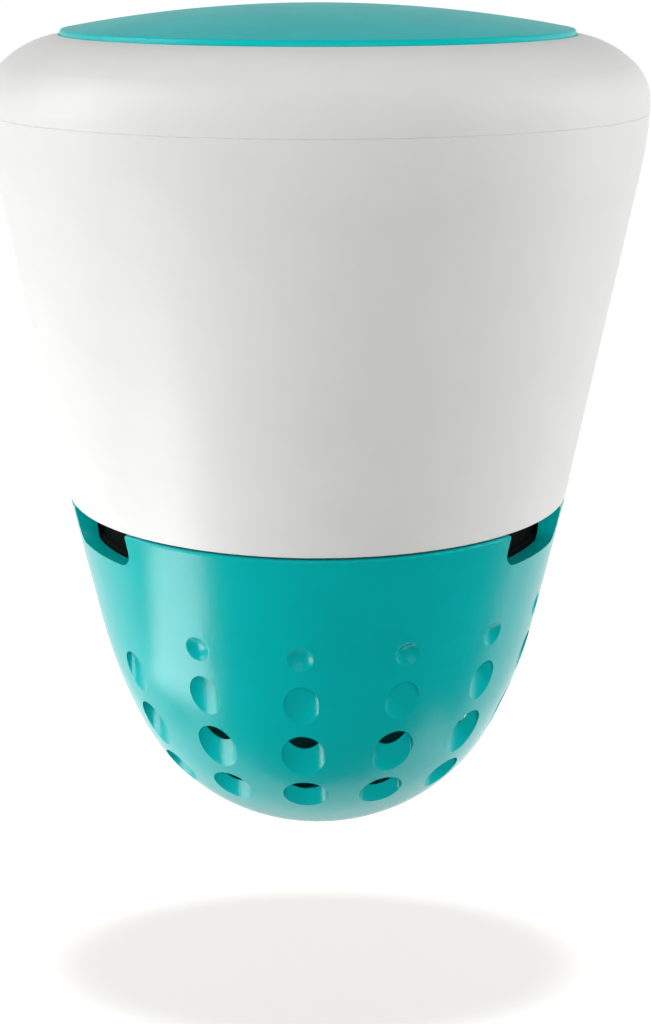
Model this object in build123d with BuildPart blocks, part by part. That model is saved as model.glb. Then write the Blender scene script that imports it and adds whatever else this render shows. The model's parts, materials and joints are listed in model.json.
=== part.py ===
from build123d import *
from math import acos, atan2, cos, degrees, hypot, radians, sin, sqrt, tan
import os

# A floating pool water analyser. A sealed white hull floats in the water with a removable cap on
# top; two plug-in probes and three fixed sensing pins hang below it inside a perforated guard.
# Millimetres, +Z up. The origin is on the axis at the lowest edge of the guard.

os.makedirs("parts", exist_ok=True)

# ---- Overall sizes ----
float_radius = 82.7  # widest circle of the hull
rim_radius = 65.3  # hull and guard where they meet
guard_height = 91.1  # lowest edge of the guard to its rim
hull_height = 117.5  # guard rim to the top of the hull's lip
lip_width = 17.7  # hull's shoulder, in from the widest circle
lip_flat = 0.6  # flat top of the lip, inside the shoulder
crown_rise = 7.3  # top of the cap above the hull's lip

# ---- Clearances ----
slide_gap = 0.3  # between pieces that move past each other
rim_gap = 0.5  # shadow line between the guard's rim and the hull
board_gap = 0.3  # round posts and sockets that pass through a board or floor

# ---- Hull shells ----
wall = 2.8
shoulder_radius = 25.3  # gentle arc below the lip
turn_radius = 12.5  # tighter arc down to the widest circle
turn_angle = 45.5  # where those two arcs meet, above horizontal
flank_radius = 88.0  # long arc from the widest circle into the cone
seam_drop = 18.3  # lip down to the seam between the two shells
seam_chamfer = 0.2
hull_edge_fillet = 0.6
collar_width = 3.6  # rings that stiffen the seam inside
collar_height = 7.0
gasket_width = 1.8
gasket_height = 1.4
floor_thickness = 3.0
boss_radius = 4.0
boss_height = 6.5

# ---- Deck under the cap ----
deck_drop = 8.0  # lip down to the deck
deck_thickness = 2.8
channel_width = 4.0  # channel that the cap's skirt drops into
channel_drop = 5.0
coaming_width = 2.0
coaming_height = 5.9
well_wall = 2.0  # well that holds the button's boot
well_depth = 5.0

# ---- Cap ----
cap_skirt = 2.5
cap_shell = 2.5
cap_edge_height = 1.3  # straight edge that shows above the lip
cap_edge_fillet = 0.9
cap_seal_height = 2.0
disc_radius = 20.0
disc_thickness = 1.6

# ---- Guard ----
guard_wall = 3.0
guard_bottom_radius = 58.0  # sphere at the bottom
guard_belly_radius = 127.0  # long arc below the straight cone
guard_bottom_angle = 72.0  # where the bottom sphere ends, below horizontal
guard_knuckle_angle = 26.4  # where the belly arc starts
guard_cone_angle = 12.2
drain_radius = 4.0
rim_fillet = 0.6
hole_columns = 14
first_column = -94.1
hole_rows = [  # height, width, radial half-depth, rise of the cut above the height
    (50.4, 8.8, 1.55, 10.0),
    (34.9, 11.0, 2.68, 10.5),
    (21.3, 11.5, 3.25, 9.0),
]
dimple_height = 64.1
dimple_ball = 4.5
dimple_depth = 1.35
dimple_fillet = 0.5
notch_count = 3
first_notch = -30.0
notch_width = 30.4
notch_depth = 8.8
notch_fillet = 4.5
landing_height = 10.0  # pads inside the rim that slide on the grip ring
landing_width = 2.4

# ---- Sensor deck and its neck ----
neck_inset = 7.3  # neck, in from the rim
neck_wall = 3.5
neck_height = 14.5
plate_thickness = 3.5
grip_section = 1.4
grip_drop = 9.0  # hull base down to the grip ring
seal_section = 1.2
seal_inset = 2.8  # middle of the deck seal, in from the neck

# ---- Probes and pins ----
probe_offset = 22.0
probe_radius = 8.0
socket_wall = 3.2
socket_depth = 24.0
socket_cap = 2.4
probe_collar_width = 2.0  # collar, out from the probe's body
probe_collar_height = 5.5
probe_shoulder = 62.0  # height where the sensing end starts
probe_tip = 46.0
probe_end_radius = 5.5
glass_radius = 4.2
tip_radius = 3.0
probe_seal_section = 0.9
pin_drop = 25.0  # hull base down to the ends of the pins
temperature_pin_radius = 2.5
conductivity_pin_radius = 2.0
conductivity_spacing = 10.0
pin_offset = 24.0
prong_gap = 5.0
grip_flutes = 12
flute_radius = 1.2

# ---- Chassis, boards and batteries ----
post_pitch = 46.0
post_radius = 4.5
pin_radius = 3.0  # upper ends of the posts
ring_thickness = 3.0
base_ring_inner = 34.5
base_ring_margin = 1.0  # base ring, out past the post centres
shelf_height = 12.5  # base ring up to the battery shelf
shelf_thickness = 2.5
shelf_window_pitch = 37.0  # lightening holes round the battery holder
shelf_window_count = 6
shelf_window_radius = 4.5
mid_ring_inner = 38.0
mid_ring_outer = 52.0
board_thickness = 1.6
sensor_board_radius = 41.0
main_board_radius = 54.0
main_board_drop = 9.8  # deck underside down to the board's top
standoff_radius = 3.0
standoff_height = 3.0
standoff_pitch = 38.0
main_standoff_pitch = 44.5
main_standoff_height = 8.4
ballast_inset = 3.8  # ballast, in from the rim
ballast_width = 7.5
ballast_height = 9.0
cell_radius = 8.3
cell_length = 34.5
cell_gap = 0.5
contact_thickness = 1.2
holder_wall = 2.0
holder_base = 2.5
module_places = [  # x, y, width, depth, height
    (-26.0, 14.0, 18.0, 25.5, 3.1),
    (27.0, 12.0, 12.0, 12.0, 1.2),
    (24.0, -14.0, 8.0, 8.0, 1.0),
    (-24.0, -18.0, 14.0, 6.0, 5.2),
    (36.0, -2.0, 5.0, 9.0, 2.4),
]
amplifier_places = [
    (-12.0, 18.0, 6.0, 5.0, 1.6),
    (12.0, 18.0, 6.0, 5.0, 1.6),
    (0.0, -12.0, 12.0, 5.0, 2.8),
    (18.0, -14.0, 5.0, 5.0, 1.2),
]

# ---- Screws ----
screw_radius = 1.5
screw_core = screw_radius + 0.05  # tapped hole, cut clear of the thread's outside
screw_hole = 1.7
screw_head = 2.75
screw_head_height = 1.9
small_screw_radius = 1.1
small_screw_head = 2.1
small_screw_head_height = 1.4
small_screw_core = small_screw_radius + 0.05
small_screw_length = 5.0  # in the standoff
closure_length = 14.0
deck_screw_count = 6
deck_screw_inset = 8.5  # in from the neck
deck_boss_drop = 8.0

# ---- Button, lens and port ----
button_radius = 6.0
button_proud = 1.5
button_flange_radius = 7.4
button_flange_height = 1.6
button_travel = 1.0
plunger_radius = 2.0
boot_height = 1.4
boot_web = 0.6
switch_side = 6.0
switch_height = 5.0
lens_radius = 2.5
lens_offset = 16.0
lens_rim = 0.8
diode_side = 3.2
diode_height = 1.8
port_offset = 22.0
port_width = 9.0
port_depth = 3.3
port_wall = 0.35
port_drop = 1.0  # deck top down to the socket's mouth
socket_back = 2.0
plug_width = 15.0
plug_depth = 9.0
plug_thickness = 1.5
plug_reach = 4.6
plug_fit = 0.3

# ---- Worked-out levels and radii ----
hull_base = guard_height + rim_gap
hull_top = guard_height + hull_height
seam = hull_top - seam_drop
lip_radius = float_radius - lip_width
turn_centre = float_radius - turn_radius
arc_step = shoulder_radius - turn_radius
shoulder_centre = turn_centre - arc_step * cos(radians(turn_angle))
lip_angle = degrees(acos((lip_radius - shoulder_centre) / shoulder_radius))
widest = hull_top - shoulder_radius * sin(radians(lip_angle)) + arc_step * sin(radians(turn_angle))
shoulder_level = widest - arc_step * sin(radians(turn_angle))
flank_centre = float_radius - flank_radius
rim_reach = hypot(rim_radius - flank_centre, hull_base - widest)
rim_bearing = atan2(widest - hull_base, rim_radius - flank_centre)
draft = degrees(rim_bearing - acos(flank_radius / rim_reach))

recess_radius = lip_radius - lip_flat
cap_radius = recess_radius - slide_gap
coaming_radius = recess_radius - channel_width
deck_top = hull_top - deck_drop
deck_under = deck_top - deck_thickness
channel_floor = hull_top - channel_drop
floor_top = hull_base + floor_thickness
chassis_base = floor_top + boss_height
shelf_top = chassis_base + ring_thickness + shelf_height
sensor_board_base = chassis_base + ring_thickness + standoff_height
main_board_top = deck_under - main_board_drop
main_board_base = main_board_top - board_thickness
mid_ring_base = main_board_base - main_standoff_height - ring_thickness
post_angles = (30, 150, 270)
boss_angles = (90, 210, 330)
standoff_angles = (0, 120, 240)
probe_places = {"ph": (-probe_offset, 0), "orp": (probe_offset, 0)}
conductivity_places = [
    (-conductivity_spacing / 2, -pin_offset),
    (conductivity_spacing / 2, -pin_offset),
]
port_place = (0, port_offset)
lens_place = (0, -lens_offset)
neck_radius = rim_radius - neck_inset
seal_ring_radius = neck_radius - seal_inset
deck_screw_pitch = neck_radius - deck_screw_inset
ballast_outer = rim_radius - ballast_inset
ballast_inner = ballast_outer - ballast_width
base_ring_outer = post_pitch + base_ring_margin
boss_pitch = (base_ring_inner + base_ring_outer) / 2
collar_inner = float_radius - wall - collar_width
gasket_middle = collar_inner + collar_width / 2
seal_groove = (seal_ring_radius - seal_section, seal_ring_radius + seal_section)
gasket_ring = (gasket_middle - gasket_width / 2, gasket_middle + gasket_width / 2)
well_radius = button_flange_radius + slide_gap
socket_radius = probe_radius + slide_gap + socket_wall
probe_collar_radius = probe_radius + probe_collar_width


def finish(part, name):
    """Label a finished piece and write its file."""
    part.label = name
    export_step(part, f"parts/{name}.step")


def circles_at(builder, radius, level):
    """Circular edges about the axis with this radius at this height."""

    def matches(edge):
        return abs(edge.radius - radius) < 0.01 and abs(edge.arc_center.Z - level) < 0.01

    return builder.edges().filter_by(GeomType.CIRCLE).filter_by(matches)


def hull_radius_near_seam():
    """Outer radius of the hull at the seam, on the long flank arc."""
    return flank_centre + sqrt(flank_radius**2 - (widest - seam) ** 2)


def polar(pitch, angles):
    """Points on a circle at the given angles in degrees."""
    return [(pitch * cos(radians(a)), pitch * sin(radians(a))) for a in angles]


def hull_lines(inset):
    """Closed half outline of the hull, moved in by the inset, from the axis and back to it."""
    shoulder = CenterArc(
        (shoulder_centre, shoulder_level),
        shoulder_radius - inset,
        turn_angle,
        lip_angle - turn_angle,
    )
    CenterArc((turn_centre, widest), turn_radius - inset, 0, turn_angle)
    flank = CenterArc((flank_centre, widest), flank_radius - inset, -draft, draft)
    base = (rim_radius - inset / cos(radians(draft)), hull_base)
    Line(flank @ 0, base)
    Polyline(base, (0, hull_base), (0, (shoulder @ 1).Y), shoulder @ 1)


def guard_numbers():
    """Sphere centre, knuckle radius and joint that close the guard's outline."""
    a1, a2, a3 = (radians(a) for a in (guard_bottom_angle, guard_knuckle_angle, guard_cone_angle))
    centre = sqrt(guard_bottom_radius**2 - drain_radius**2)
    start_r = guard_bottom_radius * cos(a1)
    start_z = centre - guard_bottom_radius * sin(a1)
    gap_r = rim_radius - start_r - guard_belly_radius * (cos(a3) - cos(a2))
    gap_z = guard_height - start_z - guard_belly_radius * (sin(a2) - sin(a3))
    across, along = cos(a2) - cos(a1), sin(a1) - sin(a2)
    scale = across * cos(a3) - along * sin(a3)
    knuckle = (gap_r * cos(a3) - gap_z * sin(a3)) / scale
    return centre, knuckle, start_r, start_z


guard_centre, guard_knuckle, knuckle_r, knuckle_z = guard_numbers()
knuckle_centre = (
    knuckle_r - guard_knuckle * cos(radians(guard_bottom_angle)),
    knuckle_z + guard_knuckle * sin(radians(guard_bottom_angle)),
)
belly_centre = (
    knuckle_centre[0] + (guard_knuckle - guard_belly_radius) * cos(radians(guard_knuckle_angle)),
    knuckle_centre[1] - (guard_knuckle - guard_belly_radius) * sin(radians(guard_knuckle_angle)),
)
belly_base = knuckle_centre[1] - guard_knuckle * sin(radians(guard_knuckle_angle))
cone_base = belly_centre[1] - guard_belly_radius * sin(radians(guard_cone_angle))


def guard_radius(height):
    """Outer radius of the guard at a height."""
    if height > cone_base:
        return rim_radius - (guard_height - height) * tan(radians(guard_cone_angle))
    if height > belly_base:
        centre, radius = belly_centre, guard_belly_radius
    elif height > knuckle_z:
        centre, radius = knuckle_centre, guard_knuckle
    else:
        centre, radius = (0, guard_centre), guard_bottom_radius
    return centre[0] + sqrt(radius**2 - (centre[1] - height) ** 2)


def guard_lines(inset):
    """Closed half outline of the guard's cup, moved in by the inset."""
    bottom = CenterArc(
        (0, guard_centre), guard_bottom_radius - inset, -90, 90 - guard_bottom_angle
    )
    CenterArc(
        knuckle_centre,
        guard_knuckle - inset,
        -guard_bottom_angle,
        guard_bottom_angle - guard_knuckle_angle,
    )
    belly = CenterArc(
        belly_centre,
        guard_belly_radius - inset,
        -guard_knuckle_angle,
        guard_knuckle_angle - guard_cone_angle,
    )
    rim = (rim_radius - inset / cos(radians(guard_cone_angle)), guard_height)
    Polyline(belly @ 1, rim, (0, guard_height), bottom @ 0)


def dimple_rims(builder):
    """Outlines of the dimples on the guard's outer face."""

    def matches(edge):
        spots = [edge @ share for share in (0.1, 0.35, 0.6, 0.85)]
        level = all(abs(spot.Z - dimple_height) < dimple_ball for spot in spots)
        on_face = all(abs(hypot(spot.X, spot.Y) - guard_radius(spot.Z)) < 0.03 for spot in spots)
        return level and on_face and edge.length < 5 * dimple_ball

    return builder.edges().filter_by(matches)


def ring_section(inner, outer, low, high):
    """Rectangle in the XZ plane between two radii and two heights, for a revolve."""
    with Locations((inner, low)):
        Rectangle(outer - inner, high - low, align=Align.MIN)


def cut_section(inner, outer, low, high):
    """The same rectangle, taken away."""
    with Locations((inner, low)):
        Rectangle(outer - inner, high - low, align=Align.MIN, mode=Mode.SUBTRACT)


def screws(points, seat, length, shank, head, head_height):
    """Identical pan-head screws with their heads on a seat and their shanks below it."""
    with BuildPart() as group:
        with Locations(*[(x, y, seat) for x, y in points]):
            Cylinder(head, head_height, align=(Align.CENTER, Align.CENTER, Align.MIN))
            Cylinder(shank, length, align=(Align.CENTER, Align.CENTER, Align.MAX))
        tops = group.faces().filter_by(Plane.XY).group_by(Axis.Z)[-1]
        chamfer(tops.edges(), head_height / 4)
        with BuildSketch(Plane.XY.offset(seat + head_height)):
            with Locations(*points):
                Rectangle(shank * 2.4, shank * 0.5)
                Rectangle(shank * 0.5, shank * 2.4)
        extrude(amount=-head_height / 2, mode=Mode.SUBTRACT)
    return group.part


# ---- Upper shell: shoulder, lip, recess, deck and button well ----
with BuildPart() as upper_shell:
    with BuildSketch(Plane.XZ):
        with BuildLine():
            hull_lines(0)
        make_face()
        cut_section(0, float_radius, 0, seam)
    revolve(axis=Axis.Z)
    with BuildSketch(Plane.XZ):
        with BuildLine():
            hull_lines(wall)
        make_face()
        cut_section(0, recess_radius + wall, deck_under, hull_top)
        cut_section(collar_inner, float_radius, seam, seam + collar_height)
    revolve(axis=Axis.Z, mode=Mode.SUBTRACT)
    with BuildSketch(Plane.XZ):
        ring_section(0, recess_radius, deck_top + coaming_height, hull_top)
        ring_section(0, coaming_radius - coaming_width, deck_top, hull_top)
        ring_section(coaming_radius, recess_radius, channel_floor, hull_top)
    revolve(axis=Axis.Z, mode=Mode.SUBTRACT)
    with BuildSketch(Plane.XY.offset(deck_under)):
        Circle(well_radius + well_wall)
    extrude(amount=-well_depth)
    with BuildSketch(Plane.XY.offset(deck_under)):
        Circle(well_radius)
    extrude(amount=-well_depth, mode=Mode.SUBTRACT)
    with BuildSketch(Plane.XY.offset(deck_top)):
        Circle(button_radius)
        with Locations(lens_place):
            Circle(lens_radius)
        with Locations(port_place):
            RectangleRounded(port_width + 2 * board_gap, port_depth + 2 * board_gap, port_depth / 2)
        with Locations(*polar(post_pitch, post_angles)):
            Circle(screw_hole)
    extrude(amount=-deck_thickness, mode=Mode.SUBTRACT)
    chamfer(circles_at(upper_shell, hull_radius_near_seam(), seam), seam_chamfer)

# ---- Lower shell: cone, floor, seam collar with the gasket groove, chassis bosses ----
with BuildPart() as lower_shell:
    with BuildSketch(Plane.XZ):
        with BuildLine():
            hull_lines(0)
        make_face()
        cut_section(0, float_radius, seam, hull_top)
    revolve(axis=Axis.Z)
    with BuildSketch(Plane.XZ):
        with BuildLine():
            hull_lines(wall)
        make_face()
        cut_section(0, float_radius, seam, hull_top)
        cut_section(0, float_radius, hull_base, floor_top)
        cut_section(collar_inner, float_radius, seam - collar_height, seam)
        ring_section(*gasket_ring, seam - gasket_height, seam)
    revolve(axis=Axis.Z, mode=Mode.SUBTRACT)
    with BuildSketch(Plane.XY.offset(floor_top)):
        with Locations(*polar(boss_pitch, boss_angles)):
            Circle(boss_radius)
    extrude(amount=boss_height)
    with BuildSketch(Plane.XY.offset(hull_base)):
        with Locations(*probe_places.values()):
            Circle(socket_radius + board_gap)
        with Locations((0, pin_offset)):
            Circle(temperature_pin_radius + board_gap)
        with Locations(*conductivity_places):
            Circle(conductivity_pin_radius + board_gap)
        with PolarLocations(deck_screw_pitch, deck_screw_count):
            Circle(screw_hole)
    extrude(amount=floor_thickness, mode=Mode.SUBTRACT)
    with BuildSketch(Plane.XY.offset(chassis_base)):
        with Locations(*polar(boss_pitch, boss_angles)):
            Circle(screw_core)
    extrude(amount=-boss_height, mode=Mode.SUBTRACT)
    chamfer(circles_at(lower_shell, hull_radius_near_seam(), seam), seam_chamfer)
    fillet(circles_at(lower_shell, rim_radius, hull_base), hull_edge_fillet)

# ---- Gasket in the seam ----
with BuildPart() as hull_gasket:
    with BuildSketch(Plane.XZ):
        ring_section(*gasket_ring, seam - gasket_height, seam)
    revolve(axis=Axis.Z)

# ---- Cap: domed top with a pocket for the disc, and a skirt inside the recess ----
crown_base = hull_top + cap_edge_height
crown_height = crown_rise - cap_edge_height
crown_radius = (cap_radius**2 + crown_height**2) / (2 * crown_height)
crown_centre = hull_top + crown_rise - crown_radius
skirt_inner = cap_radius - cap_skirt
skirt_base = channel_floor + slide_gap
pocket_radius = disc_radius + slide_gap
pocket_floor = crown_centre + sqrt(crown_radius**2 - pocket_radius**2) - disc_thickness
port_bore = (port_width - 2 * port_wall, port_depth - 2 * port_wall)


def dome_lines(radius, edge, base):
    """Half outline under a dome: axis, out along the base, up to the dome and over."""
    top = sqrt(radius**2 - edge**2) + crown_centre
    crown = ThreePointArc(
        (edge, top),
        (edge / 2, crown_centre + sqrt(radius**2 - edge**2 / 4)),
        (0, crown_centre + radius),
    )
    Polyline(crown @ 1, (0, base), (edge, base), crown @ 0)


with BuildPart() as top_cap:
    with BuildSketch(Plane.XZ):
        with BuildLine():
            dome_lines(crown_radius, cap_radius, skirt_base)
        make_face()
    revolve(axis=Axis.Z)
    fillet(circles_at(top_cap, cap_radius, crown_base), cap_edge_fillet)
    with BuildSketch(Plane.XZ):
        with BuildLine():
            dome_lines(crown_radius - cap_shell, skirt_inner, skirt_base)
        make_face()
        cut_section(0, pocket_radius + cap_shell, pocket_floor - cap_shell, hull_top + crown_rise)
    revolve(axis=Axis.Z, mode=Mode.SUBTRACT)
    with BuildSketch(Plane.XY.offset(pocket_floor)):
        Circle(pocket_radius)
    extrude(amount=crown_rise, mode=Mode.SUBTRACT)

with BuildPart() as cap_disc:
    with BuildSketch(Plane.XZ):
        with BuildLine():
            dome_lines(crown_radius, disc_radius, pocket_floor)
        make_face()
    revolve(axis=Axis.Z)
    disc_edge = crown_centre + sqrt(crown_radius**2 - disc_radius**2)
    chamfer(circles_at(cap_disc, disc_radius, disc_edge), slide_gap)

with BuildPart() as cap_seal:
    with BuildSketch(Plane.XZ):
        ring_section(
            coaming_radius + slide_gap,
            skirt_inner,
            skirt_base + slide_gap,
            skirt_base + slide_gap + cap_seal_height,
        )
    revolve(axis=Axis.Z)
    chamfer(circles_at(cap_seal, coaming_radius + slide_gap, skirt_base + slide_gap), slide_gap)

# ---- Power button: cap, flange and plunger, with a boot and a switch below it ----
flange_top = deck_under - slide_gap
boot_base = deck_under - well_depth
boot_top = boot_base + boot_height
plunger_tip = boot_top + button_travel + slide_gap

with BuildPart() as power_button:
    with BuildSketch(Plane.XY.offset(flange_top - button_flange_height)):
        Circle(button_flange_radius)
    extrude(amount=button_flange_height)
    with BuildSketch(Plane.XY.offset(flange_top)):
        Circle(button_radius - slide_gap)
    extrude(amount=deck_top + button_proud - flange_top)
    with BuildSketch(Plane.XY.offset(plunger_tip)):
        Circle(plunger_radius)
    extrude(amount=flange_top - button_flange_height - plunger_tip)
    fillet(
        circles_at(power_button, button_radius - slide_gap, deck_top + button_proud),
        button_proud / 3,
    )

with BuildPart() as button_boot:
    with BuildSketch(Plane.XZ):
        ring_section(0, well_radius, boot_base, boot_base + boot_web)
        ring_section(well_radius - well_wall, well_radius, boot_base, boot_top)
        ring_section(0, plunger_radius, boot_base, boot_top)
    revolve(axis=Axis.Z)

with BuildPart() as tact_switch:
    with BuildSketch(Plane.XY.offset(main_board_top)):
        Rectangle(switch_side, switch_side)
    extrude(amount=switch_height - boot_web)
    with BuildSketch(Plane.XY.offset(main_board_top)):
        Circle(plunger_radius)
    extrude(amount=boot_base - main_board_top)

# ---- Status lens and its diode ----
with BuildPart() as status_lens:
    with BuildSketch(Plane.XY.offset(deck_under)):
        with Locations(lens_place):
            Circle(lens_radius)
    extrude(amount=deck_thickness)
    with BuildSketch(Plane.XY.offset(deck_under)):
        with Locations(lens_place):
            Circle(lens_radius + lens_rim)
    extrude(amount=-lens_rim)
    chamfer(circles_at(status_lens, lens_radius, deck_top), slide_gap)

with BuildPart() as status_diode:
    with BuildSketch(Plane.XY.offset(main_board_top)):
        with Locations(lens_place):
            RectangleRounded(diode_side, diode_side, diode_side / 8)
    extrude(amount=diode_height)

# ---- Charging socket and its plug ----
with BuildPart() as usb_socket:
    with BuildSketch(Plane.XY.offset(main_board_top)):
        with Locations(port_place):
            RectangleRounded(port_width, port_depth, port_depth / 2 - port_wall)
    extrude(amount=deck_top - port_drop - main_board_top)
    with BuildSketch(Plane.XY.offset(main_board_top + socket_back)):
        with Locations(port_place):
            RectangleRounded(*port_bore, port_bore[1] / 2 - port_wall)
    extrude(amount=deck_top - main_board_top, mode=Mode.SUBTRACT)
    with BuildSketch(Plane.XY.offset(main_board_top + socket_back)):
        with Locations(port_place):
            Rectangle(port_bore[0] - port_depth, port_depth / 4)
    extrude(amount=deck_top - plug_reach - slide_gap - main_board_top - socket_back)

with BuildPart() as port_plug:
    with BuildSketch(Plane.XY.offset(deck_top + slide_gap)):
        with Locations(port_place):
            RectangleRounded(plug_width, plug_depth, plug_depth / 2 - slide_gap)
    extrude(amount=plug_thickness)
    with BuildSketch(Plane.XY.offset(deck_top + slide_gap)):
        with Locations(port_place):
            RectangleRounded(
                port_bore[0] - 2 * plug_fit,
                port_bore[1] - 2 * plug_fit,
                port_bore[1] / 2 - plug_fit - port_wall,
            )
    extrude(amount=-plug_reach)
    fillet(port_plug.faces().sort_by(Axis.Z)[-1].edges(), plug_thickness / 3)

# ---- Closure screws: through the deck into the tops of the posts ----
closure_screws = screws(
    polar(post_pitch, post_angles),
    deck_top,
    closure_length,
    screw_radius,
    screw_head,
    screw_head_height,
)

# ---- Chassis: base ring, battery shelf, middle ring and three posts ----
post_shoulder = main_board_base
with BuildPart() as chassis:
    with BuildSketch(Plane.XZ):
        ring_section(base_ring_inner, base_ring_outer, chassis_base, chassis_base + ring_thickness)
        ring_section(0, base_ring_outer, shelf_top - shelf_thickness, shelf_top)
        ring_section(mid_ring_inner, mid_ring_outer, mid_ring_base, mid_ring_base + ring_thickness)
    revolve(axis=Axis.Z)
    with BuildSketch(Plane.XY.offset(chassis_base)):
        with Locations(*polar(post_pitch, post_angles)):
            Circle(post_radius)
    extrude(amount=post_shoulder - chassis_base)
    with BuildSketch(Plane.XY.offset(post_shoulder)):
        with Locations(*polar(post_pitch, post_angles)):
            Circle(pin_radius)
    extrude(amount=deck_under - post_shoulder)
    with BuildSketch(Plane.XY.offset(chassis_base + ring_thickness)):
        with Locations(*polar(standoff_pitch, standoff_angles)):
            Circle(standoff_radius)
    extrude(amount=standoff_height)
    with BuildSketch(Plane.XY.offset(mid_ring_base + ring_thickness)):
        with Locations(*polar(main_standoff_pitch, boss_angles)):
            Circle(standoff_radius)
    extrude(amount=main_board_base - mid_ring_base - ring_thickness)
    with BuildSketch(Plane.XY.offset(shelf_top)):
        with PolarLocations(shelf_window_pitch, shelf_window_count):
            Circle(shelf_window_radius)
    extrude(amount=-shelf_thickness, mode=Mode.SUBTRACT)
    with BuildSketch(Plane.XY.offset(deck_under)):
        with Locations(*polar(post_pitch, post_angles)):
            Circle(screw_core)
    extrude(amount=-closure_length, mode=Mode.SUBTRACT)
    with BuildSketch(Plane.XY.offset(chassis_base)):
        with Locations(*polar(boss_pitch, boss_angles)):
            Circle(screw_hole)
    extrude(amount=ring_thickness, mode=Mode.SUBTRACT)
    with BuildSketch(Plane.XY.offset(sensor_board_base)):
        with Locations(*polar(standoff_pitch, standoff_angles)):
            Circle(small_screw_core)
    extrude(amount=-small_screw_length, mode=Mode.SUBTRACT)
    with BuildSketch(Plane.XY.offset(main_board_base)):
        with Locations(*polar(main_standoff_pitch, boss_angles)):
            Circle(small_screw_core)
    extrude(amount=-small_screw_length, mode=Mode.SUBTRACT)

chassis_screws = screws(
    polar(boss_pitch, boss_angles),
    chassis_base + ring_thickness,
    ring_thickness + boss_height - screw_core,
    screw_radius,
    screw_head,
    screw_head_height,
)

# ---- Boards, their parts and their screws ----
with BuildPart() as main_board:
    with BuildSketch(Plane.XY.offset(main_board_base)):
        Circle(main_board_radius)
        with Locations(*polar(post_pitch, post_angles)):
            Circle(pin_radius + board_gap, mode=Mode.SUBTRACT)
        with Locations(*polar(main_standoff_pitch, boss_angles)):
            Circle(small_screw_radius + board_gap, mode=Mode.SUBTRACT)
    extrude(amount=board_thickness)

with BuildPart() as board_modules:
    for x, y, width, depth, height in module_places:
        with BuildSketch(Plane.XY.offset(main_board_top)):
            with Locations((x, y)):
                Rectangle(width, depth)
        extrude(amount=height)

with BuildPart() as sensor_board:
    with BuildSketch(Plane.XY.offset(sensor_board_base)):
        Circle(sensor_board_radius)
        with Locations(*polar(standoff_pitch, standoff_angles)):
            Circle(small_screw_radius + board_gap, mode=Mode.SUBTRACT)
    extrude(amount=board_thickness)

with BuildPart() as sensor_board_parts:
    for x, y, width, depth, height in amplifier_places:
        with BuildSketch(Plane.XY.offset(sensor_board_base + board_thickness)):
            with Locations((x, y)):
                Rectangle(width, depth)
        extrude(amount=height)

sensor_board_screws = screws(
    polar(standoff_pitch, standoff_angles),
    sensor_board_base + board_thickness,
    board_thickness + small_screw_length - board_gap,
    small_screw_radius,
    small_screw_head,
    small_screw_head_height,
)
main_board_screws = screws(
    polar(main_standoff_pitch, boss_angles),
    main_board_top,
    board_thickness + small_screw_length - board_gap,
    small_screw_radius,
    small_screw_head,
    small_screw_head_height,
)

# ---- Battery holder, cells and contacts ----
cell_pitch = 2 * (cell_radius + cell_gap)
cell_base = shelf_top + holder_base + contact_thickness
cell_top = cell_base + cell_length
holder_width = 2 * cell_pitch + 2 * holder_wall
holder_depth = cell_pitch + 2 * holder_wall
holder_top = cell_top + contact_thickness + holder_base
cell_places = [(-cell_pitch / 2, 0), (cell_pitch / 2, 0)]

with BuildPart() as battery_holder:
    with BuildSketch(Plane.XY.offset(shelf_top)):
        RectangleRounded(holder_width, holder_depth, holder_wall)
    extrude(amount=holder_top - shelf_top)
    with BuildSketch(Plane.XY.offset(shelf_top + holder_base)):
        Rectangle(holder_width - 2 * holder_wall, holder_depth - 2 * holder_wall)
        with Locations((0, -holder_wall)):
            Rectangle(holder_width - 4 * holder_wall, holder_depth)
    extrude(amount=cell_length + 2 * contact_thickness, mode=Mode.SUBTRACT)

with BuildPart() as battery_cells:
    with BuildSketch(Plane.XY.offset(cell_base)):
        with Locations(*cell_places):
            Circle(cell_radius)
    extrude(amount=cell_length)
    ends = battery_cells.edges().filter_by(GeomType.CIRCLE)
    fillet(ends, cell_gap)

with BuildPart() as battery_contacts:
    for level in (cell_base - contact_thickness, cell_top):
        with BuildSketch(Plane.XY.offset(level)):
            with Locations(*cell_places):
                Circle(cell_radius / 2)
        extrude(amount=contact_thickness)

# ---- Ballast ring on the hull floor ----
with BuildPart() as ballast_ring:
    with BuildSketch(Plane.XZ):
        ring_section(ballast_inner, ballast_outer, floor_top, floor_top + ballast_height)
    revolve(axis=Axis.Z)
    chamfer(circles_at(ballast_ring, ballast_outer, floor_top + ballast_height), slide_gap)

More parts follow.
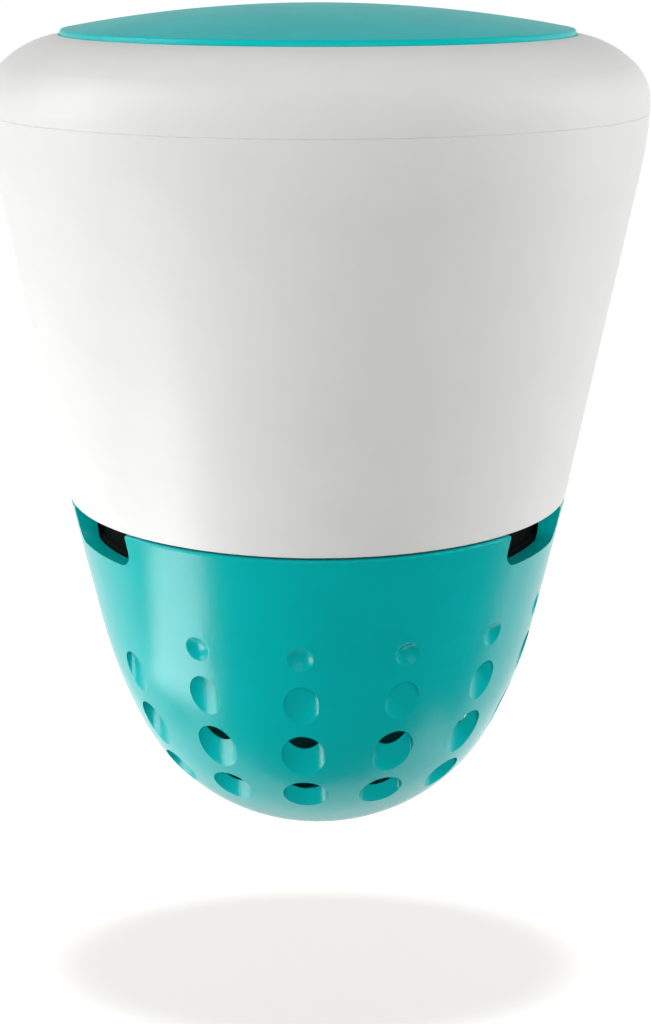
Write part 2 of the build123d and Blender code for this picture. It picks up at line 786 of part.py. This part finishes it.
# ---- Sensor deck: plate, neck with a grip groove, probe sockets and screw bosses ----
neck_base = hull_base - neck_height
socket_top = neck_base + socket_depth + socket_cap
grip_level = hull_base - grip_drop
grip_ring_radius = neck_radius - grip_section / 3
with BuildPart() as sensor_deck:
    with BuildSketch(Plane.XZ):
        ring_section(0, neck_radius, hull_base - plate_thickness, hull_base)
        ring_section(neck_radius - neck_wall, neck_radius, neck_base, hull_base)
    revolve(axis=Axis.Z)
    with BuildSketch(Plane.XY.offset(neck_base)):
        with Locations(*probe_places.values()):
            Circle(socket_radius)
    extrude(amount=socket_top - neck_base)
    with BuildSketch(Plane.XY.offset(hull_base)):
        with PolarLocations(deck_screw_pitch, deck_screw_count):
            Circle(boss_radius + neck_wall / 2)
    extrude(amount=-deck_boss_drop - plate_thickness)
    with BuildSketch(Plane.XY.offset(hull_base)):
        with PolarLocations(deck_screw_pitch, deck_screw_count):
            Circle(screw_core)
    extrude(amount=-deck_boss_drop, mode=Mode.SUBTRACT)
    with BuildSketch(Plane.XY.offset(neck_base)):
        with Locations(*probe_places.values()):
            Circle(probe_radius + slide_gap)
    extrude(amount=socket_depth, mode=Mode.SUBTRACT)
    with BuildSketch(Plane.XY.offset(hull_base)):
        with Locations((0, pin_offset)):
            Circle(temperature_pin_radius)
        with Locations(*conductivity_places):
            Circle(conductivity_pin_radius)
    extrude(amount=-plate_thickness, mode=Mode.SUBTRACT)
    with BuildSketch(Plane.XZ):
        with Locations((grip_ring_radius, grip_level)):
            Circle(grip_section)
        cut_section(neck_radius, neck_radius + grip_section, neck_base, hull_base)
    revolve(axis=Axis.Z, mode=Mode.SUBTRACT)
    with BuildSketch(Plane.XZ):
        ring_section(*seal_groove, hull_base - seal_section, hull_base)
    revolve(axis=Axis.Z, mode=Mode.SUBTRACT)
    chamfer(circles_at(sensor_deck, neck_radius, neck_base), rim_fillet)

with BuildPart() as deck_seal:
    with BuildSketch(Plane.XZ):
        ring_section(*seal_groove, hull_base - seal_section, hull_base)
    revolve(axis=Axis.Z)

with BuildPart() as grip_ring:
    with BuildSketch(Plane.XZ):
        with Locations((grip_ring_radius, grip_level)):
            Circle(grip_section)
    revolve(axis=Axis.Z)

deck_screws = screws(
    polar(deck_screw_pitch, range(0, 360, 360 // deck_screw_count)),
    floor_top,
    floor_thickness + deck_boss_drop - screw_core,
    screw_radius,
    screw_head,
    screw_head_height,
)

# ---- Probes: plug-in bodies with a collar, and their sensing ends ----
probe_top = neck_base + socket_depth - slide_gap
collar_top = neck_base - slide_gap


def probe_body(place, cage):
    """Probe body; a cage leaves four prongs round an open sensing end."""
    with BuildPart() as body:
        with BuildSketch(Plane.XY.offset(probe_top)):
            with Locations(place):
                Circle(probe_radius)
        extrude(amount=probe_shoulder - probe_top)
        with BuildSketch(Plane.XY.offset(collar_top)):
            with Locations(place):
                Circle(probe_collar_radius)
        extrude(amount=-probe_collar_height)
        fillet(circles_at(body, probe_collar_radius, collar_top), slide_gap * 2)
        with BuildSketch(Plane.XY.offset(probe_shoulder)):
            with Locations(place):
                Circle(probe_radius)
                if cage:
                    Circle(probe_end_radius, mode=Mode.SUBTRACT)
                    Rectangle(3 * probe_radius, prong_gap, mode=Mode.SUBTRACT)
                    Rectangle(prong_gap, 3 * probe_radius, mode=Mode.SUBTRACT)
                else:
                    Circle(probe_end_radius, mode=Mode.INTERSECT)
        extrude(amount=probe_tip - probe_shoulder)
        with BuildSketch(Plane.XY.offset(seal_level)):
            with Locations(place):
                Circle(probe_radius)
                Circle(probe_radius - probe_seal_section, mode=Mode.SUBTRACT)
        extrude(amount=2 * probe_seal_section, mode=Mode.SUBTRACT)
        with BuildSketch(Plane.XY.offset(collar_top - probe_collar_height)):
            with Locations(place):
                with PolarLocations(probe_collar_radius, grip_flutes):
                    Circle(flute_radius)
        extrude(amount=probe_collar_height, mode=Mode.SUBTRACT)
    return body.part


def probe_ring(place):
    """Seal ring in the groove of a probe."""
    with BuildPart() as ring:
        with BuildSketch(Plane.XY.offset(seal_level)):
            with Locations(place):
                Circle(probe_radius)
                Circle(probe_radius - probe_seal_section, mode=Mode.SUBTRACT)
        extrude(amount=2 * probe_seal_section)
    return ring.part


seal_level = neck_base + socket_depth / 3
ph_probe_body = probe_body(probe_places["ph"], cage=True)
ph_probe_seal = probe_ring(probe_places["ph"])
orp_probe_body = probe_body(probe_places["orp"], cage=False)
orp_probe_seal = probe_ring(probe_places["orp"])

with BuildPart() as ph_probe_glass:
    with BuildSketch(Plane.XY.offset(probe_shoulder)):
        with Locations(probe_places["ph"]):
            Circle(glass_radius * 0.8)
    extrude(amount=probe_tip + 2 * glass_radius - probe_shoulder)
    with Locations((*probe_places["ph"], probe_tip + 1.5 * glass_radius)):
        Sphere(glass_radius)

with BuildPart() as orp_probe_tip:
    with BuildSketch(Plane.XY.offset(probe_tip)):
        with Locations(probe_places["orp"]):
            Circle(tip_radius)
    extrude(amount=-tip_radius / 2)
    fillet(circles_at(orp_probe_tip, tip_radius, probe_tip - tip_radius / 2), tip_radius / 3)


def sensing_pins(points, radius):
    """Round-ended metal pins that pass through the sensor deck into the hull."""
    with BuildPart() as pins:
        with BuildSketch(Plane.XY.offset(hull_base - pin_drop)):
            with Locations(*points):
                Circle(radius)
        extrude(amount=pin_drop + boss_height)
        fillet(circles_at(pins, radius, hull_base - pin_drop), radius / 2)
    return pins.part


temperature_pin = sensing_pins([(0, pin_offset)], temperature_pin_radius)
conductivity_pins = sensing_pins(conductivity_places, conductivity_pin_radius)

# ---- Guard: perforated cup with three finger notches, pushed onto the grip ring ----
landing_inner = neck_radius + grip_section - grip_section / 3 + slide_gap
with BuildPart() as guard_cup:
    with BuildSketch(Plane.XZ):
        with BuildLine():
            guard_lines(0)
        make_face()
        with BuildLine():
            guard_lines(guard_wall)
        make_face(mode=Mode.SUBTRACT)
        cut_section(0, drain_radius, -guard_wall, guard_wall * 2)
        with BuildLine():
            landing_low = guard_height - landing_height
            landing_back = guard_radius(landing_low) - guard_wall / 2
            Polyline(
                (landing_inner, guard_height),
                (landing_inner, landing_low),
                (landing_back, landing_low - landing_width),
                (landing_back, guard_height),
                close=True,
            )
        make_face()
    revolve(axis=Axis.Z)
    fillet(circles_at(guard_cup, rim_radius, guard_height), rim_fillet)
    slope = radians(guard_cone_angle)
    dimple_out = dimple_ball - dimple_depth
    dimple_plane = Plane.XY.offset(dimple_height - dimple_out * sin(slope))
    with Locations(dimple_plane):
        with PolarLocations(
            guard_radius(dimple_height) + dimple_out * cos(slope), hole_columns, first_column
        ):
            Sphere(dimple_ball, mode=Mode.SUBTRACT)
    fillet(dimple_rims(guard_cup), dimple_fillet)
    for height, width, depth, rise in hole_rows:
        with BuildSketch(Plane.XY.offset(height + rise)):
            with PolarLocations(guard_radius(height), hole_columns, first_column):
                Ellipse(depth, width / 2)
        extrude(amount=-height - rise, mode=Mode.SUBTRACT)
    for k in range(notch_count):
        angle = radians(first_notch + k * 360 / notch_count)
        outward = Plane(
            origin=(0, 0, guard_height),
            x_dir=(-sin(angle), cos(angle), 0),
            z_dir=(cos(angle), sin(angle), 0),
        )
        with BuildSketch(outward) as notch:
            with Locations((0, -notch_depth)):
                Rectangle(notch_width, 2 * notch_depth, align=(Align.CENTER, Align.MIN))
            fillet(notch.vertices().group_by(Axis.Y)[0], notch_fillet)
        extrude(amount=2 * rim_radius, mode=Mode.SUBTRACT)

finish(upper_shell.part, "upper_shell")
finish(lower_shell.part, "lower_shell")
finish(hull_gasket.part, "hull_gasket")
finish(top_cap.part, "top_cap")
finish(cap_disc.part, "cap_disc")
finish(cap_seal.part, "cap_seal")
finish(power_button.part, "power_button")
finish(button_boot.part, "button_boot")
finish(tact_switch.part, "tact_switch")
finish(status_lens.part, "status_lens")
finish(status_diode.part, "status_diode")
finish(usb_socket.part, "usb_socket")
finish(port_plug.part, "port_plug")
finish(closure_screws, "closure_screws")
finish(chassis.part, "chassis")
finish(chassis_screws, "chassis_screws")
finish(main_board.part, "main_board")
finish(board_modules.part, "board_modules")
finish(main_board_screws, "main_board_screws")
finish(sensor_board.part, "sensor_board")
finish(sensor_board_parts.part, "sensor_board_parts")
finish(sensor_board_screws, "sensor_board_screws")
finish(battery_holder.part, "battery_holder")
finish(battery_cells.part, "battery_cells")
finish(battery_contacts.part, "battery_contacts")
finish(ballast_ring.part, "ballast_ring")
finish(sensor_deck.part, "sensor_deck")
finish(deck_seal.part, "deck_seal")
finish(grip_ring.part, "grip_ring")
finish(deck_screws, "deck_screws")
finish(ph_probe_body, "ph_probe_body")
finish(ph_probe_glass.part, "ph_probe_glass")
finish(ph_probe_seal, "ph_probe_seal")
finish(orp_probe_body, "orp_probe_body")
finish(orp_probe_tip.part, "orp_probe_tip")
finish(orp_probe_seal, "orp_probe_seal")
finish(temperature_pin, "temperature_pin")
finish(conductivity_pins, "conductivity_pins")
finish(guard_cup.part, "guard_cup")
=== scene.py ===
import json
import math

import bpy
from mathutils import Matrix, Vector


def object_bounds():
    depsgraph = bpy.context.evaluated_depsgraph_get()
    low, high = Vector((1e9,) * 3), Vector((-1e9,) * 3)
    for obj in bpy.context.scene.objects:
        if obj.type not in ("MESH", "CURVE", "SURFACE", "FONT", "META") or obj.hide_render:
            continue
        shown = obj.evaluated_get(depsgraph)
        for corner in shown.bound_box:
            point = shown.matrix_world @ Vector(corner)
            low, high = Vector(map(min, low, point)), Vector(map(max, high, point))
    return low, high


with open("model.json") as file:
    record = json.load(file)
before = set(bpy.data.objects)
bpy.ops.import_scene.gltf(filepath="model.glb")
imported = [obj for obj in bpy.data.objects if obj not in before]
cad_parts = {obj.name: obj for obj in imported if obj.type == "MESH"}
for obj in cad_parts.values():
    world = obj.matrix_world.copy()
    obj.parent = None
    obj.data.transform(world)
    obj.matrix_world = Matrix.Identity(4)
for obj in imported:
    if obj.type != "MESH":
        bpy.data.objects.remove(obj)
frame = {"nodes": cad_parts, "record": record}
cad_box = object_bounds()
nodes = frame["nodes"]
scene = bpy.context.scene

MM = 0.001

# Lengths are in metres and angles in degrees. The float's axis is the frame's Z axis.

FLOOR_DROP = 0.112  # clear air under the guard, more than its travel
FLOOR_SIZE = (0.34, 0.60)
FLOOR_SHIFT = 0.24  # the floor's middle, behind the float's axis
FLOOR_COLOUR = (0.6, 0.595, 0.58)
FLOOR_GLOW = 0.8
# Painted shadow: a soft darker patch in the floor's glow stands for the float's shadow.
PAINTED_SHADOW_HALF = (0.117, 0.066)  # half the size of the painted shadow, a soft, darker patch on the floor
PAINTED_SHADOW_SHIFT = 0.114  # the painted shadow's middle, behind the float's axis
PAINTED_SHADOW_EDGE = 0.36  # width of its soft edge, as a share of its half size
PAINTED_SHADOW_COLOUR = (0.55, 0.515, 0.495)

ROOM_DARK, ROOM_WHITE = 0.05, 1.02  # brightness on the camera's side, and behind the float
ROOM_TURN = (0.15, 0.35)  # Y of the viewing direction, from dark to white
ROOM_HIGH = 0.25  # share of the brightness that is left high up
ROOM_RISE = (0.05, 0.4)  # Z of the viewing direction, from full to that share

AIM_HEIGHT = 0.1  # height that the lamps point at
OVERHEAD_HEIGHT = 1.2
CARD_SIZE = (0.30, 0.11)
CARD_DROP = 0.042  # below the guard
CARD_GAP = 0.12  # from the float's axis to the card's near end
CARD_AZIMUTH = -52
CARD_RADIANCE = 5.0

CAMERA_PLACE = (0, -0.5093, 0.2318)
CAMERA_PITCH = 16.17  # below level
CAMERA_LENS, CAMERA_SENSOR = 69.8, 36.0  # millimetres
CAMERA_SHIFT = 0.0074
CAMERA_CLIP = (0.01, 100.0)

NOISE_DETAIL, NOISE_ROUGHNESS = 2.0, 0.55
TINT_SPAN = (0.35, 0.65)  # part of the noise over which a colour drifts
PLASTIC_DRIFT, METAL_DRIFT, CLEAR_DRIFT = 60.0, 90.0, 900.0  # slow noise, in grains per metre
PLASTIC_IOR = 1.5
COAT_ROUGHNESS = 0.2

# ---- Materials ----


def material(name):
    """A new node material and its Principled shader."""
    made = bpy.data.materials.new(name)
    made.use_nodes = True
    return made, made.node_tree.nodes["Principled BSDF"]


def add_node(made, kind, **sockets):
    """A node of a material, with its input values set by socket name."""
    node = made.node_tree.nodes.new(kind)
    for socket, value in sockets.items():
        node.inputs[socket.replace("_", " ")].default_value = value
    return node


def link(made, start, output, end, socket):
    """A wire from one node's output to another's input."""
    made.node_tree.links.new(start.outputs[output], end.inputs[socket])


def grain(made, scale):
    """Noise in object space; the scale is in grains per metre."""
    place = add_node(made, "ShaderNodeTexCoord")
    noise = add_node(
        made, "ShaderNodeTexNoise", Scale=scale, Detail=NOISE_DETAIL, Roughness=NOISE_ROUGHNESS
    )
    link(made, place, "Object", noise, "Vector")
    return noise


def tint(made, shader, noise, low, high):
    """Base colour that drifts between two close colours."""
    ramp = add_node(made, "ShaderNodeValToRGB")
    for stop, position, colour in zip(ramp.color_ramp.elements, TINT_SPAN, (low, high)):
        stop.position = position
        stop.color = (*colour, 1)
    link(made, noise, "Fac", ramp, "Fac")
    link(made, ramp, "Color", shader, "Base Color")


def roughen(made, shader, noise, low, high):
    """Roughness that drifts between two values."""
    spread = add_node(made, "ShaderNodeMapRange", To_Min=low, To_Max=high)
    link(made, noise, "Fac", spread, "Value")
    link(made, spread, "Result", shader, "Roughness")


def bump(made, shader, noise, depth):
    """Surface relief from a noise, with its depth in metres."""
    relief = add_node(made, "ShaderNodeBump", Strength=1.0, Distance=depth)
    link(made, noise, "Fac", relief, "Height")
    link(made, relief, "Normal", shader, "Normal")


def grained(name, drift, low, high, rough, grain_size, depth):
    """Slow colour drift, and fine grain in the relief and the roughness."""
    made, shader = material(name)
    tint(made, shader, grain(made, drift), low, high)
    fine = grain(made, 1.0 / grain_size)
    roughen(made, shader, fine, *rough)
    bump(made, shader, fine, depth)
    return made, shader


def plastic(name, low, high, rough, grain_size, depth, coat=0.0, gloss=0.5):
    """Moulded plastic or rubber, with a clear coat where a weight is given."""
    made, shader = grained(name, PLASTIC_DRIFT, low, high, rough, grain_size, depth)
    shader.inputs["IOR"].default_value = PLASTIC_IOR
    shader.inputs["Specular IOR Level"].default_value = gloss
    shader.inputs["Coat Weight"].default_value = coat
    shader.inputs["Coat Roughness"].default_value = COAT_ROUGHNESS
    return made


def metal(name, low, high, rough, grain_size, depth):
    """Metal with a fine finish."""
    made, shader = grained(name, METAL_DRIFT, low, high, rough, grain_size, depth)
    shader.inputs["Metallic"].default_value = 1.0
    return made


def clear(name, colour, rough, weight):
    """Glass or frosted plastic that light passes through."""
    made, shader = material(name)
    shader.inputs["Base Color"].default_value = (*colour, 1)
    shader.inputs["Transmission Weight"].default_value = weight
    roughen(made, shader, grain(made, CLEAR_DRIFT), *rough)
    return made


WHITE = plastic(
    "white_shell", (0.82, 0.82, 0.80), (0.84, 0.84, 0.822), (0.36, 0.46), 0.35 * MM, 0.004 * MM
)
TEAL = plastic(
    "teal_plastic",
    (0.0, 0.465, 0.46),
    (0.0, 0.485, 0.48),
    (0.15, 0.22),
    0.5 * MM,
    0.05 * MM,
    gloss=0.4,
)
CAP_TEAL = plastic(
    "teal_cap",
    (0.0, 0.53, 0.53),
    (0.0, 0.57, 0.57),
    (0.30, 0.44),
    0.5 * MM,
    0.09 * MM,
    gloss=0.35,
)
BLACK = plastic(
    "black_plastic",
    (0.002, 0.002, 0.002),
    (0.003, 0.003, 0.003),
    (0.6, 0.75),
    0.4 * MM,
    0.02 * MM,
    gloss=0.05,
)
RUBBER = plastic(
    "black_rubber",
    (0.003, 0.003, 0.003),
    (0.005, 0.005, 0.005),
    (0.7, 0.85),
    0.3 * MM,
    0.02 * MM,
    gloss=0.05,
)
GREY = plastic(
    "grey_plastic", (0.1, 0.105, 0.11), (0.12, 0.125, 0.13), (0.45, 0.6), 0.4 * MM, 0.02 * MM
)
TEAL_RUBBER = plastic(
    "teal_rubber", (0.0, 0.22, 0.22), (0.0, 0.25, 0.25), (0.6, 0.75), 0.3 * MM, 0.02 * MM
)
BOARD = plastic(
    "circuit_board", (0.004, 0.06, 0.02), (0.006, 0.08, 0.03), (0.25, 0.4), 1.2 * MM, 0.01 * MM, 0.5
)
CHIPS = plastic(
    "components", (0.01, 0.01, 0.011), (0.018, 0.018, 0.02), (0.4, 0.55), 0.2 * MM, 0.01 * MM
)
WRAP = plastic(
    "cell_wrap", (0.01, 0.05, 0.25), (0.015, 0.06, 0.28), (0.2, 0.3), 2.0 * MM, 0.01 * MM, 0.3
)
STEEL = metal(
    "stainless", (0.55, 0.55, 0.56), (0.62, 0.62, 0.62), (0.22, 0.36), 0.25 * MM, 0.004 * MM
)
IRON = metal(
    "ballast_iron", (0.3, 0.3, 0.31), (0.38, 0.38, 0.38), (0.4, 0.6), 0.6 * MM, 0.02 * MM
)
PLATINUM = metal(
    "platinum", (0.72, 0.7, 0.68), (0.78, 0.76, 0.74), (0.08, 0.16), 0.3 * MM, 0.002 * MM
)
NICKEL = metal(
    "nickel", (0.6, 0.57, 0.5), (0.66, 0.63, 0.56), (0.25, 0.35), 0.3 * MM, 0.004 * MM
)
DIFFUSER = clear("diffuser", (0.85, 0.95, 0.95), (0.32, 0.48), 0.7)
PROBE_GLASS = clear("probe_glass", (0.93, 0.98, 1.0), (0.032, 0.048), 1.0)

BY_SLOT = {
    "white_shell": WHITE,
    "teal_plastic": TEAL,
    "black_plastic": BLACK,
    "grey_plastic": GREY,
    "black_rubber": RUBBER,
    "teal_rubber": TEAL_RUBBER,
    "circuit_board": BOARD,
    "components": CHIPS,
    "cell_wrap": WRAP,
    "stainless": STEEL,
    "ballast_iron": IRON,
    "platinum": PLATINUM,
    "nickel": NICKEL,
    "diffuser": DIFFUSER,
    "probe_glass": PROBE_GLASS,
}
# Nodes whose finish is unlike that of their slot
BY_NODE = {"top_cap": CAP_TEAL, "cap_disc": CAP_TEAL}


def dress_nodes():
    """Every CAD node takes the material of its slot, or its own where it has one."""
    for row in frame["record"]["subparts"]:
        piece = nodes[row["node"]]
        piece.data.materials.clear()
        piece.data.materials.append(BY_NODE.get(row["node"], BY_SLOT[row["material_slot"]]))


# ---- Studio ----


def build_floor():
    """Plain pale floor below the float, with a painted shadow in its own material: a soft darker
    patch in its glow.
    """
    bpy.ops.mesh.primitive_plane_add(
        size=1.0, location=(0, FLOOR_SHIFT, cad_box[0].z - FLOOR_DROP)
    )
    floor = bpy.context.object
    floor.name = "floor"
    floor.scale = (*FLOOR_SIZE, 1.0)
    made, shader = material("floor")
    shader.inputs["Base Color"].default_value = (*FLOOR_COLOUR, 1)
    shader.inputs["Roughness"].default_value = 0.9
    shader.inputs["Specular IOR Level"].default_value = 0.0
    shader.inputs["Emission Strength"].default_value = FLOOR_GLOW
    place = add_node(made, "ShaderNodeTexCoord")
    fit = add_node(
        made,
        "ShaderNodeMapping",
        Scale=(FLOOR_SIZE[0] / PAINTED_SHADOW_HALF[0], FLOOR_SIZE[1] / PAINTED_SHADOW_HALF[1], 1.0),
        Location=(0, (FLOOR_SHIFT - PAINTED_SHADOW_SHIFT) / PAINTED_SHADOW_HALF[1], 0),
    )
    # Painted shadow: the floor's glow turns darker inside a soft ellipse behind the float's axis.
    painted_shadow = made.node_tree.nodes.new("ShaderNodeTexGradient")
    painted_shadow.gradient_type = "SPHERICAL"
    fade = add_node(made, "ShaderNodeValToRGB")
    fade.color_ramp.interpolation = "EASE"
    outside, inside = fade.color_ramp.elements
    outside.position = 0.0
    outside.color = (1, 1, 1, 1)
    inside.position = PAINTED_SHADOW_EDGE
    inside.color = (*PAINTED_SHADOW_COLOUR, 1)
    link(made, place, "Object", fit, "Vector")
    link(made, fit, "Vector", painted_shadow, "Vector")
    link(made, painted_shadow, "Fac", fade, "Fac")
    link(made, fade, "Color", shader, "Emission Color")
    floor.data.materials.append(made)


def build_world():
    """Room that is white low down behind the float, and dark above and on the camera's side."""
    world = bpy.data.worlds.new("studio")
    scene.world = world
    world.use_nodes = True
    tree = world.node_tree
    back = tree.nodes["Background"]
    place = tree.nodes.new("ShaderNodeTexCoord")
    split = tree.nodes.new("ShaderNodeSeparateXYZ")
    tree.links.new(place.outputs["Generated"], split.inputs["Vector"])
    for axis, socket, span, values in (
        ("Y", "Color", ROOM_TURN, (ROOM_DARK, ROOM_WHITE)),
        ("Z", "Strength", ROOM_RISE, (1.0, ROOM_HIGH)),
    ):
        spread = tree.nodes.new("ShaderNodeMapRange")
        for limit, value in zip(("From Min", "From Max", "To Min", "To Max"), span + values):
            spread.inputs[limit].default_value = value
        tree.links.new(split.outputs[axis], spread.inputs["Value"])
        tree.links.new(spread.outputs["Result"], back.inputs[socket])


def direction(azimuth, elevation):
    """Unit vector from the float. Azimuth 0 is the camera's side, -90 the left."""
    a, e = math.radians(azimuth), math.radians(elevation)
    return Vector((math.cos(e) * math.sin(a), -math.cos(e) * math.cos(a), math.sin(e)))


def softbox(name, spot, aim, size, radiance, glossy=True):
    """Area light of a set radiance, placed at one spot and aimed at another."""
    lamp = bpy.data.lights.new(name, "AREA")
    lamp.shape = "RECTANGLE"
    lamp.size, lamp.size_y = size
    lamp.energy = radiance * math.pi * size[0] * size[1]
    holder = bpy.data.objects.new(name, lamp)
    holder.location = spot
    holder.rotation_euler = (aim - spot).to_track_quat("-Z", "Y").to_euler()
    holder.visible_camera = False
    holder.visible_glossy = glossy
    scene.collection.objects.link(holder)
    return holder


def light_float():
    """Soft front and side fill, a strip overhead, and a bright card low on the left."""
    middle = Vector((0, 0, AIM_HEIGHT))
    for name, azimuth, elevation, distance, size, radiance, glossy in (
        ("front_fill", 8, 8, 1.5, (1.4, 1.0), 3.5, False),
        ("side_left", -85, 25, 1.2, (0.8, 1.2), 3.0, True),
        ("side_right", 100, 10, 1.2, (0.5, 1.2), 4.6, False),
    ):
        spot = middle + direction(azimuth, elevation) * distance
        softbox(name, spot, middle, size, radiance, glossy)
    softbox("overhead", Vector((0, 0, OVERHEAD_HEIGHT)), middle, (0.2, 1.0), 4.0, glossy=False)

    along, across = direction(CARD_AZIMUTH, 0), direction(CARD_AZIMUTH - 90, 0)
    corner = Vector((0, 0, cad_box[0].z - CARD_DROP)) + along * CARD_GAP
    spot = corner + along * CARD_SIZE[0] / 2 + across * CARD_SIZE[1] / 2
    card = softbox("low_card", spot, spot + Vector((0, 0, 1)), CARD_SIZE, CARD_RADIANCE)
    card.rotation_euler = (math.pi, 0, math.atan2(along.y, along.x))


def build_camera():
    """Camera in front of the float and a little above it, looking down on it."""
    lens = bpy.data.cameras.new("camera")
    lens.lens = CAMERA_LENS
    lens.sensor_width = CAMERA_SENSOR
    lens.shift_x = CAMERA_SHIFT
    lens.clip_start, lens.clip_end = CAMERA_CLIP
    holder = bpy.data.objects.new("camera", lens)
    holder.location = CAMERA_PLACE
    holder.rotation_euler = (math.radians(90 - CAMERA_PITCH), 0, 0)
    scene.collection.objects.link(holder)
    scene.camera = holder


dress_nodes()
build_floor()
build_world()
light_float()
build_camera()
scene.view_settings.view_transform = "Standard"
